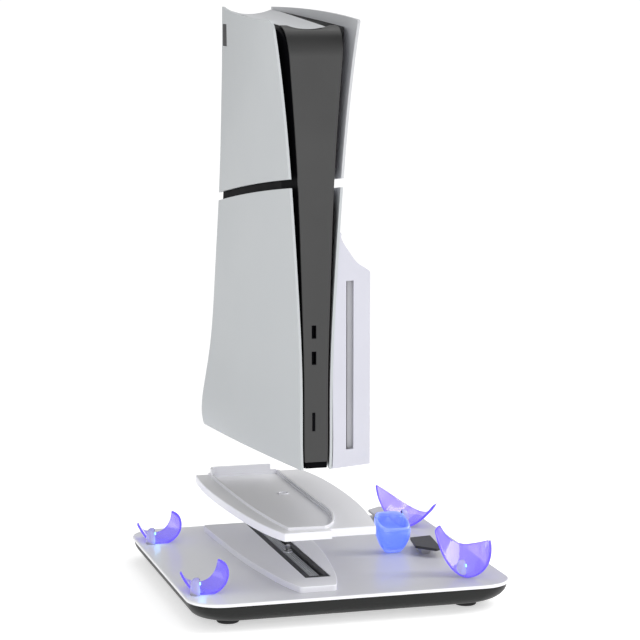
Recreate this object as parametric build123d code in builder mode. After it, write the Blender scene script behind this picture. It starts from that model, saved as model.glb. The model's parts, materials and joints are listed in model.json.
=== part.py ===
from build123d import *
import os
from math import cos, radians, sin, sqrt

os.makedirs("parts", exist_ok=True)

# ---------------------------------------------------------------- charging base
BASE_X = 264
BASE_Y = 263.4
CORNER_R = 27
FOOT_H = 4
FOOT_R = 9
FOOT_X = 98
FOOT_Y = 102
TUB_TOP = 19.5
TUB_INSET = 1.2
TUB_WALL = 2.4
# how far the bottom of the hull-shaped tub stands in from its rim, and how many sections shape it
HULL_IN = 18
HULL_STEPS = 7
TUB_CAVITY_IN = 15
PLATE_TOP = 22
PAD_TOP = 26.8
PAD_X = -27.9
# half width of the riser pad at each distance along the depth
PAD_OUTLINE = ((-114.6, 14.5), (-95, 20.6), (-60, 27.2), (-16, 33.1), (38, 37.1), (114.4, 40.9))

# channel in the riser pad
CHANNEL_X = -20.8
CHANNEL_FRONT = -88
CHANNEL_REAR = 108
GASKET_W = 21
GASKET_WALL = 5.2
CHANNEL_FLOOR = 23.2
INSERT_TOP = 24
RIDGE_H = 0.5
RIDGE_W = 0.8
FIT_GAP = 0.15

# captive locating stud
STUD_X = -19.6
STUD_Y = 9.5
STUD_R = 2
STUD_TOP = 30.3
STUD_BOTTOM = 14
STUD_HEAD_R = 4
STUD_HEAD_H = 2
RUN_GAP = 0.06

# ---------------------------------------------------------------- docking plate
DOCK_BOTTOM = 61.2
DOCK_TOP = 67.7
DOCK_FRONT = -104
DOCK_REAR = 131.8
TRAY_FLOOR = 66.2
RIM_TOP = 69.9
RIM_W = 2
RING_X = -14
RING_Y = 45
RING_R = 4.8
WALL_TOP = 75

# ---------------------------------------------------------------- console
XC = -24.5
YF = -95.8
Z0 = 115.4
DEPTH = 216
PANEL_T = 2.1
BULGE = 2.3
# panel front and rear half widths and front band half width at each height
HEIGHTS = (0, 60, 120, 178, 228, 262, 294, 328, 362)
FRONT_HALF = (12.4, 13.2, 15.2, 18.6, 22, 24.8, 28, 32.2, 37.6)
REAR_HALF = (41, 36.4, 31, 27.6, 25.2, 24.2, 23.4, 22.8, 22.5)
BAND_HALF = (8.8, 9.6, 10.9, 12.7, 14.7, 16.7, 19, 21.6, 24.2)
FRONT_TOP = 350
REAR_TOP = 359.5
# the top edge dips on the left panel and crowns on the right one
LEFT_TOP_MID = 352.4
RIGHT_TOP_MID = 356.9
LEFT_TOP_R = 9
RIGHT_TOP_R = 3
SLIT_FRONT = 221.7
SLIT_MID = 209.5
SLIT_REAR = 194.5
SLIT_W = 6.8
INSET_Y0 = 190
INSET_Y1 = 210
INSET_Z0 = 326.5
INSET_Z1 = 345
CORE_GAP = 3.2
CORE_WALL = 2.4
CORE_FRONT = 2
CORE_REAR = 213
CORE_BOTTOM = 1.2
SHOULDER_Y = 30
ROLL_R = 22
ROLL_Z = 322
CORE_REAR_TOP = 357
ROOF_IN_REAR = 346
VALLEY_R = 52
VALLEY_Z = 393.5
# the hollow on top climbs towards the back
VALLEY_TILT = 3.2
CAP_T = 1.3
BAND_T = 1.8
BAND_BOTTOM = 6
PORT_X = -1.8
PORT_W = 3.5
PORT_H = 10.2
PORT_ZS = (109.2, 88.6)
PORT_LEN = 8
BUTTON_X = -2
BUTTON_Z = 38.1
BUTTON_W = 2
BUTTON_H = 14.3
BUTTON_TRAVEL_ROOM = 1.2

# optical drive bulge on the right-hand side
COVER_T = 2.2
COVER_TOP = 190
BULGE_SIDE = 50.4
SHOULDER_Z = 144
SLOT_X = 28.9
SLOT_W = 6.6
SLOT_Z = 80.8
SLOT_LEN = 134
SEAL_GAP = 2.4
SEAL_Y = 11
DISC_X = 27
DRIVE_X0 = 23.6
DRIVE_X1 = 39.4
BAY_GAP = 0.4
DRIVE_Y0 = 15
DRIVE_Y1 = 136
DRIVE_Z0 = 14
DRIVE_Z1 = 146
DISC_GAP = 7
SPINDLE_Y = 76
ROLLER_R = 1.2
ROLLER_OFF = 1.8
ROLLER_Y = 19


def interp(z, values):
    for i in range(len(HEIGHTS) - 1):
        if z <= HEIGHTS[i + 1]:
            t = (z - HEIGHTS[i]) / (HEIGHTS[i + 1] - HEIGHTS[i])
            return values[i] + t * (values[i + 1] - values[i])
    return values[-1]


def panel_half(y, z):
    f = interp(z, FRONT_HALF)
    r = interp(z, REAR_HALF)
    t = y / DEPTH
    return f + (r - f) * t + BULGE * 4 * t * (1 - t)


def box(x0, x1, y0, y1, z0, z1):
    return Pos((x0 + x1) / 2, (y0 + y1) / 2, (z0 + z1) / 2) * Box(x1 - x0, y1 - y0, z1 - z0,
            mode=Mode.PRIVATE)


def local_box(x0, x1, y0, y1, z0, z1):
    return Pos(XC, YF, Z0) * box(x0, x1, y0, y1, z0, z1)


def rod_x(x0, x1, y, z, r):
    return Pos(XC + (x0 + x1) / 2, YF + y, Z0 + z) * Rot(0, 90, 0) * Cylinder(r, x1 - x0,
            mode=Mode.PRIVATE)


def rod_z(x, y, z0, z1, r):
    return Pos(x, y, (z0 + z1) / 2) * Cylinder(r, z1 - z0, mode=Mode.PRIVATE)


def save(builder, label):
    builder.part.label = label
    export_step(builder.part, "parts/" + label + ".step")


def panel_section(z, side):
    f = interp(z, FRONT_HALF)
    r = interp(z, REAR_HALF)
    m = (f + r) / 2 + BULGE
    with BuildSketch(Plane.XY.offset(Z0 + z)) as s:
        with BuildLine():
            ThreePointArc((XC + side * f, YF), (XC + side * m, YF + DEPTH / 2), (XC + side * r,
                    YF + DEPTH))
            Line((XC + side * r, YF + DEPTH), (XC + side * (r - PANEL_T), YF + DEPTH))
            ThreePointArc(
                (XC + side * (r - PANEL_T), YF + DEPTH),
                (XC + side * (m - PANEL_T), YF + DEPTH / 2),
                (XC + side * (f - PANEL_T), YF),
            )
            Line((XC + side * (f - PANEL_T), YF), (XC + side * f, YF))
        make_face()
    return s.sketch


def core_section(z, side, inset, y0, y1):
    b = interp(z, BAND_HALF) + 0.2 - inset * 0.8
    shoulder = panel_half(SHOULDER_Y, z) - CORE_GAP - inset
    ym = (SHOULDER_Y + y1) / 2
    mid = panel_half(ym, z) - CORE_GAP - inset
    end = panel_half(min(y1, DEPTH), z) - CORE_GAP - inset
    with BuildSketch(Plane.XY.offset(Z0 + z)) as s:
        with BuildLine():
            Line((XC, YF + y0), (XC + side * b, YF + y0))
            Line((XC + side * b, YF + y0), (XC + side * shoulder, YF + SHOULDER_Y))
            ThreePointArc(
                (XC + side * shoulder, YF + SHOULDER_Y),
                (XC + side * mid, YF + ym),
                (XC + side * end, YF + y1),
            )
            Line((XC + side * end, YF + y1), (XC, YF + y1))
            Line((XC, YF + y1), (XC, YF + y0))
        make_face()
    return s.sketch


def band_section(z):
    b = interp(z, BAND_HALF)
    with BuildSketch(Plane.XY.offset(Z0 + z)) as s:
        with Locations((XC, YF + 25)):
            Rectangle(2 * b, 60)
    return s.sketch


def upper_mask(top_mid, corner_r):
    with BuildPart() as m:
        with BuildSketch(Plane.YZ.offset(XC)) as s:
            with BuildLine():
                ThreePointArc(
                    (YF, Z0 + SLIT_FRONT + SLIT_W),
                    (YF + DEPTH / 2, Z0 + SLIT_MID + SLIT_W),
                    (YF + DEPTH, Z0 + SLIT_REAR + SLIT_W),
                )
                Line((YF + DEPTH, Z0 + SLIT_REAR + SLIT_W), (YF + DEPTH, Z0 + REAR_TOP))
                ThreePointArc((YF + DEPTH, Z0 + REAR_TOP), (YF + DEPTH / 2, Z0 + top_mid), (YF,
                        Z0 + FRONT_TOP))
                Line((YF, Z0 + FRONT_TOP), (YF, Z0 + SLIT_FRONT + SLIT_W))
            make_face()
            fillet(s.vertices().sort_by(Axis.Y)[-2:].sort_by(Axis.X)[0], corner_r)
        extrude(amount=80, both=True)
    return m.part


def lower_mask():
    with BuildPart() as m:
        with BuildSketch(Plane.YZ.offset(XC)):
            with BuildLine():
                ThreePointArc(
                    (YF, Z0 + SLIT_FRONT), (YF + DEPTH / 2, Z0 + SLIT_MID), (YF + DEPTH, Z0 + SLIT_REAR)
                )
                Line((YF + DEPTH, Z0 + SLIT_REAR), (YF + DEPTH, Z0))
                Line((YF + DEPTH, Z0), (YF, Z0))
                Line((YF, Z0), (YF, Z0 + SLIT_FRONT))
            make_face()
        extrude(amount=80, both=True)
    return m.part


# snap pegs: depth and height of each, for the upper and lower panels
UPPER_PEGS = ((70, 255), (180, 235), (180, 310), (90, 320))
LOWER_PEGS = ((52, 30), (185, 30), (60, 180), (185, 165))
PEG_R = 2.5
PEG_HOLE_R = 3
PEG_LEN = 5


def peg(y, z, side):
    h = panel_half(y, z)
    a = side * (h - PANEL_T / 2)
    b = side * (h - PANEL_T / 2 - PEG_LEN)
    return rod_x(min(a, b), max(a, b), y, z, PEG_R)


def peg_hole(y, z, side):
    h = panel_half(y, z)
    a = side * (h + 2)
    b = side * (h - 12)
    return rod_x(min(a, b), max(a, b), y, z, PEG_HOLE_R)


LEFT_UPPER_MASK = upper_mask(LEFT_TOP_MID, LEFT_TOP_R)
RIGHT_UPPER_MASK = upper_mask(RIGHT_TOP_MID, RIGHT_TOP_R)
LOWER_MASK = lower_mask()


def side_panel(side, mask, pegs):
    with BuildPart() as p:
        loft(sections=[panel_section(z, side) for z in HEIGHTS])
        add(mask, mode=Mode.INTERSECT)
        for y, z in pegs:
            add(peg(y, z, side))
    return p.part


# ================================================================ base parts
def hull_inset(z):
    """Inset of the tub's outside at height z: a quarter ellipse from rim to bottom."""
    t = (TUB_TOP - z) / (TUB_TOP - FOOT_H)
    return TUB_INSET + HULL_IN * (1 - sqrt(max(0.0, 1 - t * t)))


with BuildPart() as base_tub:
    for i in range(HULL_STEPS):
        # sections crowd together towards the bottom, where the hull turns fastest
        t = i / (HULL_STEPS - 1)
        z = TUB_TOP - (TUB_TOP - FOOT_H) * sin(radians(90 * t))
        with BuildSketch(Plane.XY.offset(z)):
            grow = 2 * hull_inset(z)
            RectangleRounded(BASE_X - grow, BASE_Y - grow, CORNER_R - TUB_INSET)
    loft()
    with BuildSketch(Plane.XY.offset(FOOT_H + TUB_WALL)):
        RectangleRounded(BASE_X - 2 * TUB_CAVITY_IN, BASE_Y - 2 * TUB_CAVITY_IN,
                CORNER_R - TUB_CAVITY_IN / 2)
    extrude(amount=TUB_TOP, mode=Mode.SUBTRACT)
    # screw posts under the top plate
    with BuildSketch(Plane.XY.offset(FOOT_H + TUB_WALL)):
        with GridLocations(2 * FOOT_X, 2 * FOOT_Y, 2, 2):
            Circle(4.5)
        with GridLocations(2 * FOOT_X, 1, 2, 1):
            Circle(4.5)
    extrude(amount=TUB_TOP - FOOT_H - TUB_WALL)
    with BuildSketch(Plane.XY.offset(FOOT_H + 4)):
        with GridLocations(2 * FOOT_X, 2 * FOOT_Y, 2, 2):
            Circle(1.56)
        with GridLocations(2 * FOOT_X, 1, 2, 1):
            Circle(1.56)
    extrude(amount=TUB_TOP, mode=Mode.SUBTRACT)
    # recess for each rubber foot
    with BuildSketch(Plane.XY.offset(FOOT_H)):
        with GridLocations(2 * FOOT_X, 2 * FOOT_Y, 2, 2):
            Circle(FOOT_R + 0.1)
    extrude(amount=1, mode=Mode.SUBTRACT)
    # opening for the power inlet in the rear wall
    add(box(55.4, 64.6, 115, 133, 10.4, 13.8), mode=Mode.SUBTRACT)
    # board posts
    with BuildSketch(Plane.XY.offset(FOOT_H + TUB_WALL)):
        with Locations((40, 84)):
            with GridLocations(84, 44, 2, 2):
                Circle(3)
    extrude(amount=1)
save(base_tub, "base_tub")

with BuildPart() as base_top_plate:
    with BuildSketch(Plane.XY.offset(TUB_TOP)):
        RectangleRounded(BASE_X, BASE_Y, CORNER_R)
    extrude(amount=PLATE_TOP - TUB_TOP)
    fillet(base_top_plate.edges().group_by(Axis.Z)[-1], 1.1)
    with BuildSketch(Plane.XY.offset(TUB_TOP)):
        with Locations((STUD_X, STUD_Y)):
            Circle(STUD_R + 0.4)
    extrude(amount=PLATE_TOP - TUB_TOP, mode=Mode.SUBTRACT)
save(base_top_plate, "base_top_plate")

with BuildPart() as rubber_feet:
    with BuildSketch(Plane.XY):
        with GridLocations(2 * FOOT_X, 2 * FOOT_Y, 2, 2):
            Circle(FOOT_R)
    extrude(amount=FOOT_H + 1)
    fillet(rubber_feet.edges().group_by(Axis.Z)[0], 1.5)
save(rubber_feet, "rubber_feet")

with BuildPart() as base_screws:
    with BuildSketch(Plane.XY.offset(FOOT_H + 4.5)):
        with GridLocations(2 * FOOT_X, 2 * FOOT_Y, 2, 2):
            Circle(1.5)
        with GridLocations(2 * FOOT_X, 1, 2, 1):
            Circle(1.5)
    extrude(amount=TUB_TOP - FOOT_H - 4.5)
save(base_screws, "base_screws")


def pad_face(z, grow):
    left = [(PAD_X - hw - grow, y) for y, hw in PAD_OUTLINE]
    right = [(PAD_X + hw + grow, y) for y, hw in reversed(PAD_OUTLINE)]
    with BuildSketch(Plane.XY.offset(z)) as s:
        with BuildLine():
            Spline(left)
            Line(left[-1], right[0])
            Spline(right)
            Line(right[-1], left[0])
        make_face()
        fillet(s.vertices(), 4)
    return s.sketch


CHANNEL_Y = (CHANNEL_FRONT + CHANNEL_REAR) / 2
CHANNEL_LEN = CHANNEL_REAR - CHANNEL_FRONT
INNER_W = GASKET_W - 2 * GASKET_WALL
INNER_LEN = CHANNEL_LEN - 2 * GASKET_WALL

with BuildPart() as riser_pad:
    add(pad_face(PLATE_TOP, 0))
    extrude(amount=PAD_TOP - PLATE_TOP)
    fillet(riser_pad.edges().group_by(Axis.Z)[-1], 0.8)
    with BuildSketch(Plane.XY.offset(CHANNEL_FLOOR)):
        with Locations((CHANNEL_X, CHANNEL_Y)):
            Rectangle(GASKET_W, CHANNEL_LEN)
    extrude(amount=10, mode=Mode.SUBTRACT)
    with BuildSketch(Plane.XY.offset(PLATE_TOP)):
        with Locations((STUD_X, STUD_Y)):
            Circle(STUD_R + 0.4)
    extrude(amount=10, mode=Mode.SUBTRACT)
save(riser_pad, "riser_pad")

with BuildPart() as channel_gasket:
    with BuildSketch(Plane.XY.offset(CHANNEL_FLOOR)):
        with Locations((CHANNEL_X, CHANNEL_Y)):
            Rectangle(GASKET_W - 2 * FIT_GAP, CHANNEL_LEN - 2 * FIT_GAP)
            Rectangle(INNER_W, INNER_LEN, mode=Mode.SUBTRACT)
    extrude(amount=PAD_TOP - CHANNEL_FLOOR)
    chamfer(channel_gasket.edges().group_by(Axis.Z)[-1], 0.5)
save(channel_gasket, "channel_gasket")

with BuildPart() as channel_insert:
    with BuildSketch(Plane.XY.offset(CHANNEL_FLOOR)):
        with Locations((CHANNEL_X, CHANNEL_Y)):
            Rectangle(INNER_W - 2 * FIT_GAP, INNER_LEN - 2 * FIT_GAP)
    extrude(amount=INSERT_TOP - CHANNEL_FLOOR)
    with BuildSketch(Plane.XY.offset(INSERT_TOP)):
        with Locations((CHANNEL_X, CHANNEL_Y)):
            with GridLocations(1.9, 1, 5, 1):
                Rectangle(RIDGE_W, INNER_LEN - 4)
        with Locations((STUD_X, STUD_Y)):
            Circle(4.2, mode=Mode.SUBTRACT)
    extrude(amount=RIDGE_H)
    with BuildSketch(Plane.XY.offset(CHANNEL_FLOOR)):
        with Locations((STUD_X, STUD_Y)):
            Circle(STUD_R + RUN_GAP)
    extrude(amount=5, mode=Mode.SUBTRACT)
save(channel_insert, "channel_insert")

with BuildPart() as stud_washer:
    with BuildSketch(Plane.XY.offset(INSERT_TOP)):
        with Locations((STUD_X, STUD_Y)):
            Circle(3.9)
            Circle(STUD_R + RUN_GAP, mode=Mode.SUBTRACT)
    extrude(amount=0.9)
    fillet(stud_washer.edges().group_by(Axis.Z)[-1].sort_by(SortBy.LENGTH)[-1], 0.4)
save(stud_washer, "stud_washer")

with BuildPart() as locating_stud:
    add(rod_z(STUD_X, STUD_Y, STUD_BOTTOM, STUD_TOP, STUD_R))
    add(rod_z(STUD_X, STUD_Y, STUD_BOTTOM, STUD_BOTTOM + STUD_HEAD_H, STUD_HEAD_R))
    with BuildSketch(Plane.XY.offset(INSERT_TOP + 1.1)):
        with Locations((STUD_X, STUD_Y)):
            Circle(STUD_R + 1)
    extrude(amount=1)
    chamfer(locating_stud.edges().group_by(Axis.Z)[-1], 0.5)
    # screwdriver slot in the head
    with BuildSketch(Plane.XY.offset(STUD_BOTTOM)):
        with Locations((STUD_X, STUD_Y)):
            Rectangle(6, 1)
    extrude(amount=1, mode=Mode.SUBTRACT)
save(locating_stud, "locating_stud")

with BuildPart() as charge_board:
    with BuildSketch(Plane.XY.offset(FOOT_H + TUB_WALL + 1)):
        with Locations((40, 84)):
            Rectangle(100, 58)
    extrude(amount=1.6)
save(charge_board, "charge_board")

BOARD_TOP = FOOT_H + TUB_WALL + 2.6
with BuildPart() as charge_chips:
    with BuildSketch(Plane.XY.offset(BOARD_TOP)):
        for x, y, w, h in ((15, 84, 12, 12), (42, 76, 8, 8), (66, 91, 10, 6), (80, 71, 6, 6), (30,
                102, 5, 8)):
            with Locations((x, y)):
                Rectangle(w, h)
    extrude(amount=1.8)
save(charge_chips, "charge_chips")

with BuildPart() as power_inlet:
    add(box(55.7, 64.3, 114, 126.6, 10.7, 13.5))
    add(box(56.5, 63.5, 117, 132, 11.5, 12.7), mode=Mode.SUBTRACT)
save(power_inlet, "power_inlet")

# ---------------------------------------------------------------- cradles
CRADLE_T = 2.2
CRADLE_STATIONS = 15
CRADLE_SINK = 0.5


def cradle_rails(t, half, depth, width, tilt, yaw, roll, sweeps, front, back, taper):
    """Front and back edge of the band at t, from -1 at its left tip to 1 at its right tip."""
    side = 0 if t < 0 else 1
    q = abs(t)
    turn = radians(q * sweeps[side])
    x = (half * sin(turn)) if t > 0 else -(half * sin(turn))
    z = depth * (1 - cos(turn))
    ends = (
        Vector(x, width * front[side] * q * q, z),
        Vector(x * (1 + (taper[side] - 1) * q), width * (1 - back[side] * q * q), z),
    )
    return [v.rotate(Axis.Y, roll).rotate(Axis.X, tilt).rotate(Axis.Z, yaw) for v in ends]


def cradle(x, y, **shape):
    """Upturned curved band: four-sided sections across the band, lofted from tip to tip."""
    foot = Vector(x, y, PLATE_TOP - CRADLE_SINK)
    with BuildPart() as c:
        for i in range(CRADLE_STATIONS):
            t = -1 + 2 * i / (CRADLE_STATIONS - 1)
            near, far = cradle_rails(t, **shape)
            before = cradle_rails(t - 0.02, **shape)[0]
            after = cradle_rails(t + 0.02, **shape)[0]
            across = (far - near).normalized()
            inward = across.cross(before - after).normalized()
            plane = Plane(origin=foot + near, x_dir=across, z_dir=across.cross(inward))
            with BuildSketch(plane):
                with Locations(((far - near).length / 2, CRADLE_T / 2)):
                    Rectangle((far - near).length, CRADLE_T)
        loft(ruled=True)
    return c.part


UNDER_PLATE = Pos(0, 0, PLATE_TOP - 25) * Box(400, 400, 50)

LEFT_CRADLE = dict(half=18, depth=17.7, width=30, tilt=6, yaw=-1, roll=20, sweeps=(50, 148),
                   front=(0.8, -0.07), back=(0.08, 0.9), taper=(0.93, 0.5))
RIGHT_FRONT_CRADLE = dict(half=24, depth=34, width=35, tilt=37, yaw=-19, roll=-13, sweeps=(80, 89),
                          front=(0.9, 0.2), back=(-0.04, 0.77), taper=(0.81, 0.99))
RIGHT_REAR_CRADLE = dict(half=25.5, depth=34, width=26, tilt=23, yaw=-58, roll=16, sweeps=(91, 73),
                         front=(0, 0.9), back=(0.95, 0.17), taper=(1.03, 1.02))

with BuildPart() as cradle_left_front:
    add(cradle(-120.4, -99.2, **LEFT_CRADLE))
    add(UNDER_PLATE, mode=Mode.SUBTRACT)
save(cradle_left_front, "cradle_left_front")

with BuildPart() as cradle_left_rear:
    add(cradle(-119.8, 75.6, **LEFT_CRADLE))
    add(UNDER_PLATE, mode=Mode.SUBTRACT)
save(cradle_left_rear, "cradle_left_rear")

with BuildPart() as cradle_right_front:
    add(cradle(100.4, -106, **RIGHT_FRONT_CRADLE))
    add(UNDER_PLATE, mode=Mode.SUBTRACT)
save(cradle_right_front, "cradle_right_front")

with BuildPart() as cradle_right_rear:
    add(cradle(101.3, 82.3, **RIGHT_REAR_CRADLE))
    add(UNDER_PLATE, mode=Mode.SUBTRACT)
save(cradle_right_rear, "cradle_right_rear")

# contact post, pins and light window inside each cradle: x, y and side of the flat face
POSTS = ((-121.4, -96.4, 1), (-120.8, 78.4, 1), (96.5, -98.5, 1), (107, 88, -1))
POST_R = 5.5
POST_H = 13.5
FLAT = 1.5
PIN_R = 0.6
PIN_LEN = 0.8
PIN_PITCH = 1.4
PIN_COUNT = 3
PIN_TOP = 35.2
LIGHT_R = 1.1


def dome(x, y, side):
    with BuildPart() as d:
        with BuildSketch(Plane.XZ):
            with BuildLine():
                Line((0, 0), (POST_R, 0))
                Spline((POST_R, 0), (POST_R * 0.86, POST_H * 0.6), (0, POST_H), tangents=((0, 1),
                        (-1, 0)))
                Line((0, POST_H), (0, 0))
            make_face()
        revolve(axis=Axis.Z)
        add(Pos(side * (FLAT + 10), 0, 10) * Box(20, 30, 40, mode=Mode.PRIVATE), mode=Mode.SUBTRACT)
    return Pos(x, y, PLATE_TOP) * d.part


CRADLES = (cradle_left_front.part, cradle_left_rear.part, cradle_right_front.part, cradle_right_rear.part)

with BuildPart() as contact_posts:
    for x, y, side in POSTS:
        with BuildPart(mode=Mode.PRIVATE) as whole_post:
            add(dome(x, y, side))
            for c in CRADLES:
                add(c, mode=Mode.SUBTRACT)
        # the post stands on the band, so only the piece above it is kept
        add(whole_post.part.solids().sort_by(Axis.Z)[-1])
save(contact_posts, "contact_posts")

with BuildPart() as contact_pins:
    for x, y, side in POSTS:
        for i in range(PIN_COUNT):
            px = x + side * (FLAT + PIN_LEN / 2)
            pin = Cylinder(PIN_R, PIN_LEN, mode=Mode.PRIVATE)
            add(Pos(px, y, PIN_TOP - 1.4 - PIN_PITCH * i) * Rot(0, 90, 0) * pin)
save(contact_pins, "contact_pins")

with BuildPart() as light_windows:
    for x, y, side in POSTS:
        window = Cylinder(LIGHT_R, 1, mode=Mode.PRIVATE)
        add(Pos(x + side * (FLAT + 0.5), y - 2.2, PLATE_TOP + 9) * Rot(0, 90, 0) * window)
save(light_windows, "light_windows")

# ---------------------------------------------------------------- pocket cup
CUP_X = 67
CUP_Y = -8
CUP_FOOT_W = 13
CUP_FOOT_D = 9
CUP_WALL = 2
CUP_FRONT_Z = 45
CUP_BACK_Z = 55


def cup_solid(inset, z0, z1):
    with BuildPart() as c:
        for z, w, d, yo in ((0, CUP_FOOT_W, CUP_FOOT_D, 0), (12, 24, 14, 1), (24, 31, 18, 2), (36,
                28, 20, 3)):
            with BuildSketch(Plane.XY.offset(PLATE_TOP + z)):
                with Locations((CUP_X, CUP_Y + yo)):
                    RectangleRounded(w - 2 * inset, d - 2 * inset, 3.5 - inset * 0.8)
        loft()
        add(box(CUP_X - 30, CUP_X + 30, CUP_Y - 30, CUP_Y + 30, z0, z1), mode=Mode.INTERSECT)
    return c.part


with BuildPart() as stow_cup:
    add(cup_solid(0, PLATE_TOP, CUP_BACK_Z))
    add(cup_solid(CUP_WALL, PLATE_TOP + 3, CUP_BACK_Z + 5), mode=Mode.SUBTRACT)
    with BuildSketch(Plane.YZ.offset(CUP_X - 30)):
        with BuildLine():
            Polyline(
                (CUP_Y - 20, CUP_FRONT_Z),
                (CUP_Y - 4, CUP_FRONT_Z),
                (CUP_Y + 8, CUP_BACK_Z),
                (CUP_Y + 8, CUP_BACK_Z + 10),
                (CUP_Y - 20, CUP_BACK_Z + 10),
                close=True,
            )
        make_face()
    extrude(amount=60, mode=Mode.SUBTRACT)
save(stow_cup, "stow_cup")

# ---------------------------------------------------------------- rest flaps
FLAP_TOP = 30
FLAP_T = 2.2
FLAPS = (
    ((87, 8), (106, 11), (100.8, -33), (95.5, -36.5), (82, -21)),
    ((83.8, 119), (97, 129.5), (105, 121), (91.8, 100.2), (83.5, 96.4)),
)
FLAP_FEET = ((92, -15), (92, 112))


def flap_plate(points):
    with BuildPart() as f:
        with BuildSketch(Plane.XY.offset(FLAP_TOP - FLAP_T)):
            with BuildLine():
                Polyline(*points, close=True)
            make_face()
        extrude(amount=FLAP_T)
    return f.part


with BuildPart() as rest_flap_front:
    add(flap_plate(FLAPS[0]))
save(rest_flap_front, "rest_flap_front")

with BuildPart() as rest_flap_rear:
    add(flap_plate(FLAPS[1]))
    add(cradle_right_rear.part, mode=Mode.SUBTRACT)
save(rest_flap_rear, "rest_flap_rear")

with BuildPart() as flap_feet:
    for x, y in FLAP_FEET:
        with BuildSketch(Plane.XY.offset(PLATE_TOP)):
            with Locations((x, y)):
                Rectangle(6, 8)
        with BuildSketch(Plane.XY.offset(FLAP_TOP - FLAP_T)):
            with Locations((x, y)):
                Rectangle(11, 18)
        loft()
save(flap_feet, "flap_feet")

# ================================================================ docking plate
DOCK_LEFT = ((-52.5, -104), (-58.1, -85.5), (-64.9, -48), (-69.8, 0), (-73.2, 58), (-70.6, DOCK_REAR))
DOCK_RIGHT = ((25, DOCK_REAR), (30.5, 105), (35, 51), (33.3, -31), (24, -98))

with BuildPart() as dock_plate:
    with BuildSketch(Plane.XY.offset(DOCK_BOTTOM)) as s:
        with BuildLine():
            Spline(DOCK_LEFT)
            Line(DOCK_LEFT[-1], DOCK_RIGHT[0])
            Spline(DOCK_RIGHT)
            Line(DOCK_RIGHT[-1], (-13.9, -98))
            Line((-13.9, -98), (-13.9, DOCK_FRONT))
            Line((-13.9, DOCK_FRONT), DOCK_LEFT[0])
        make_face()
    extrude(amount=DOCK_TOP - DOCK_BOTTOM)
    chamfer(dock_plate.edges().group_by(Axis.Z)[-1], 0.5)
    # recessed tray floor
    with BuildSketch(Plane.XY.offset(TRAY_FLOOR)):
        with BuildLine():
            Spline((-44, -90), (-51, -40), (-55.5, 40), (-57, 126))
            Line((-57, 126), (1, 126))
            Line((1, 126), (1, -30))
            Spline((1, -30), (-6, -72), (-18, -93), tangents=((0, -1), (-1, -0.7)))
            Line((-18, -93), (-44, -90))
        make_face()
    extrude(amount=5, mode=Mode.SUBTRACT)
    # blind socket on the underside for the stud
    add(rod_z(STUD_X, STUD_Y, DOCK_BOTTOM, DOCK_BOTTOM + 3.7, STUD_R + 0.6), mode=Mode.SUBTRACT)
save(dock_plate, "dock_plate")


def rim_outline(grow):
    with BuildSketch(Plane.XY.offset(DOCK_TOP)) as s:
        with BuildLine():
            Spline((-45 - grow, -92 - grow), (-52 - grow, -40), (-56.5 - grow, 40), (-58 - grow,
                    127 + grow))
            Line((-58 - grow, 127 + grow), (2 + grow, 127 + grow))
            Line((2 + grow, 127 + grow), (2 + grow, -30))
            Spline(
                (2 + grow, -30),
                (-5 + grow, -72),
                (-17.4, -94 - grow),
                tangents=((0, -1), (-1, -0.7)),
            )
            Line((-17.4, -94 - grow), (-45 - grow, -92 - grow))
        make_face()
    return s.sketch


with BuildPart() as tray_rim:
    add(rim_outline(RIM_W))
    extrude(amount=RIM_TOP - DOCK_TOP)
    chamfer(tray_rim.edges().group_by(Axis.Z)[-1], 0.4)
    with BuildPart(mode=Mode.PRIVATE) as rim_hole:
        add(rim_outline(0.2))
        extrude(amount=10)
    add(rim_hole.part, mode=Mode.SUBTRACT)
    # the right-hand side stays low along the drive wing
    add(box(1, 10, -12, 140, RIM_TOP - 0.8, RIM_TOP + 5), mode=Mode.SUBTRACT)
save(tray_rim, "tray_rim")

with BuildPart() as tray_back_wall:
    with BuildSketch(Plane.XY.offset(RIM_TOP)):
        with BuildLine():
            Line((-59.5, 118), (-57.8, 118))
            Spline((-57.8, 118), (-56.8, 125), (-53, 127.4), tangents=((0, 1), (1, 0)))
            Line((-53, 127.4), (-4, 127.4))
            Line((-4, 127.4), (-4, 129))
            Line((-4, 129), (-54, 129))
            Spline((-54, 129), (-58.6, 126.2), (-59.5, 118), tangents=((-1, 0), (0, -1)))
        make_face()
    extrude(amount=WALL_TOP - RIM_TOP)
    chamfer(tray_back_wall.edges().group_by(Axis.Z)[-1], 0.4)
save(tray_back_wall, "tray_back_wall")

with BuildPart() as tray_ring:
    with BuildSketch(Plane.XY.offset(TRAY_FLOOR)):
        with Locations((RING_X, RING_Y)):
            Circle(RING_R)
            Circle(RING_R - 1.3, mode=Mode.SUBTRACT)
    extrude(amount=0.9)
    fillet(tray_ring.edges().group_by(Axis.Z)[-1], 0.35)
save(tray_ring, "tray_ring")

# ================================================================ console panels
with BuildPart() as left_upper_panel:
    add(side_panel(-1, LEFT_UPPER_MASK, UPPER_PEGS))
    # window for the small dark inset near the rear top corner
    add(local_box(-40, -10, INSET_Y0, INSET_Y1, INSET_Z0, INSET_Z1), mode=Mode.SUBTRACT)
save(left_upper_panel, "left_upper_panel")

INSET_X = -panel_half((INSET_Y0 + INSET_Y1) / 2, (INSET_Z0 + INSET_Z1) / 2)
with BuildPart() as panel_inset:
    add(local_box(INSET_X + 0.6, INSET_X + 1.9, INSET_Y0 + 0.1, INSET_Y1 - 0.1, INSET_Z0 + 0.1,
            INSET_Z1 - 0.1))
save(panel_inset, "panel_inset")

with BuildPart() as left_lower_panel:
    add(side_panel(-1, LOWER_MASK, LOWER_PEGS))
save(left_lower_panel, "left_lower_panel")

with BuildPart() as right_upper_panel:
    add(side_panel(1, RIGHT_UPPER_MASK, UPPER_PEGS))
save(right_upper_panel, "right_upper_panel")


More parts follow.
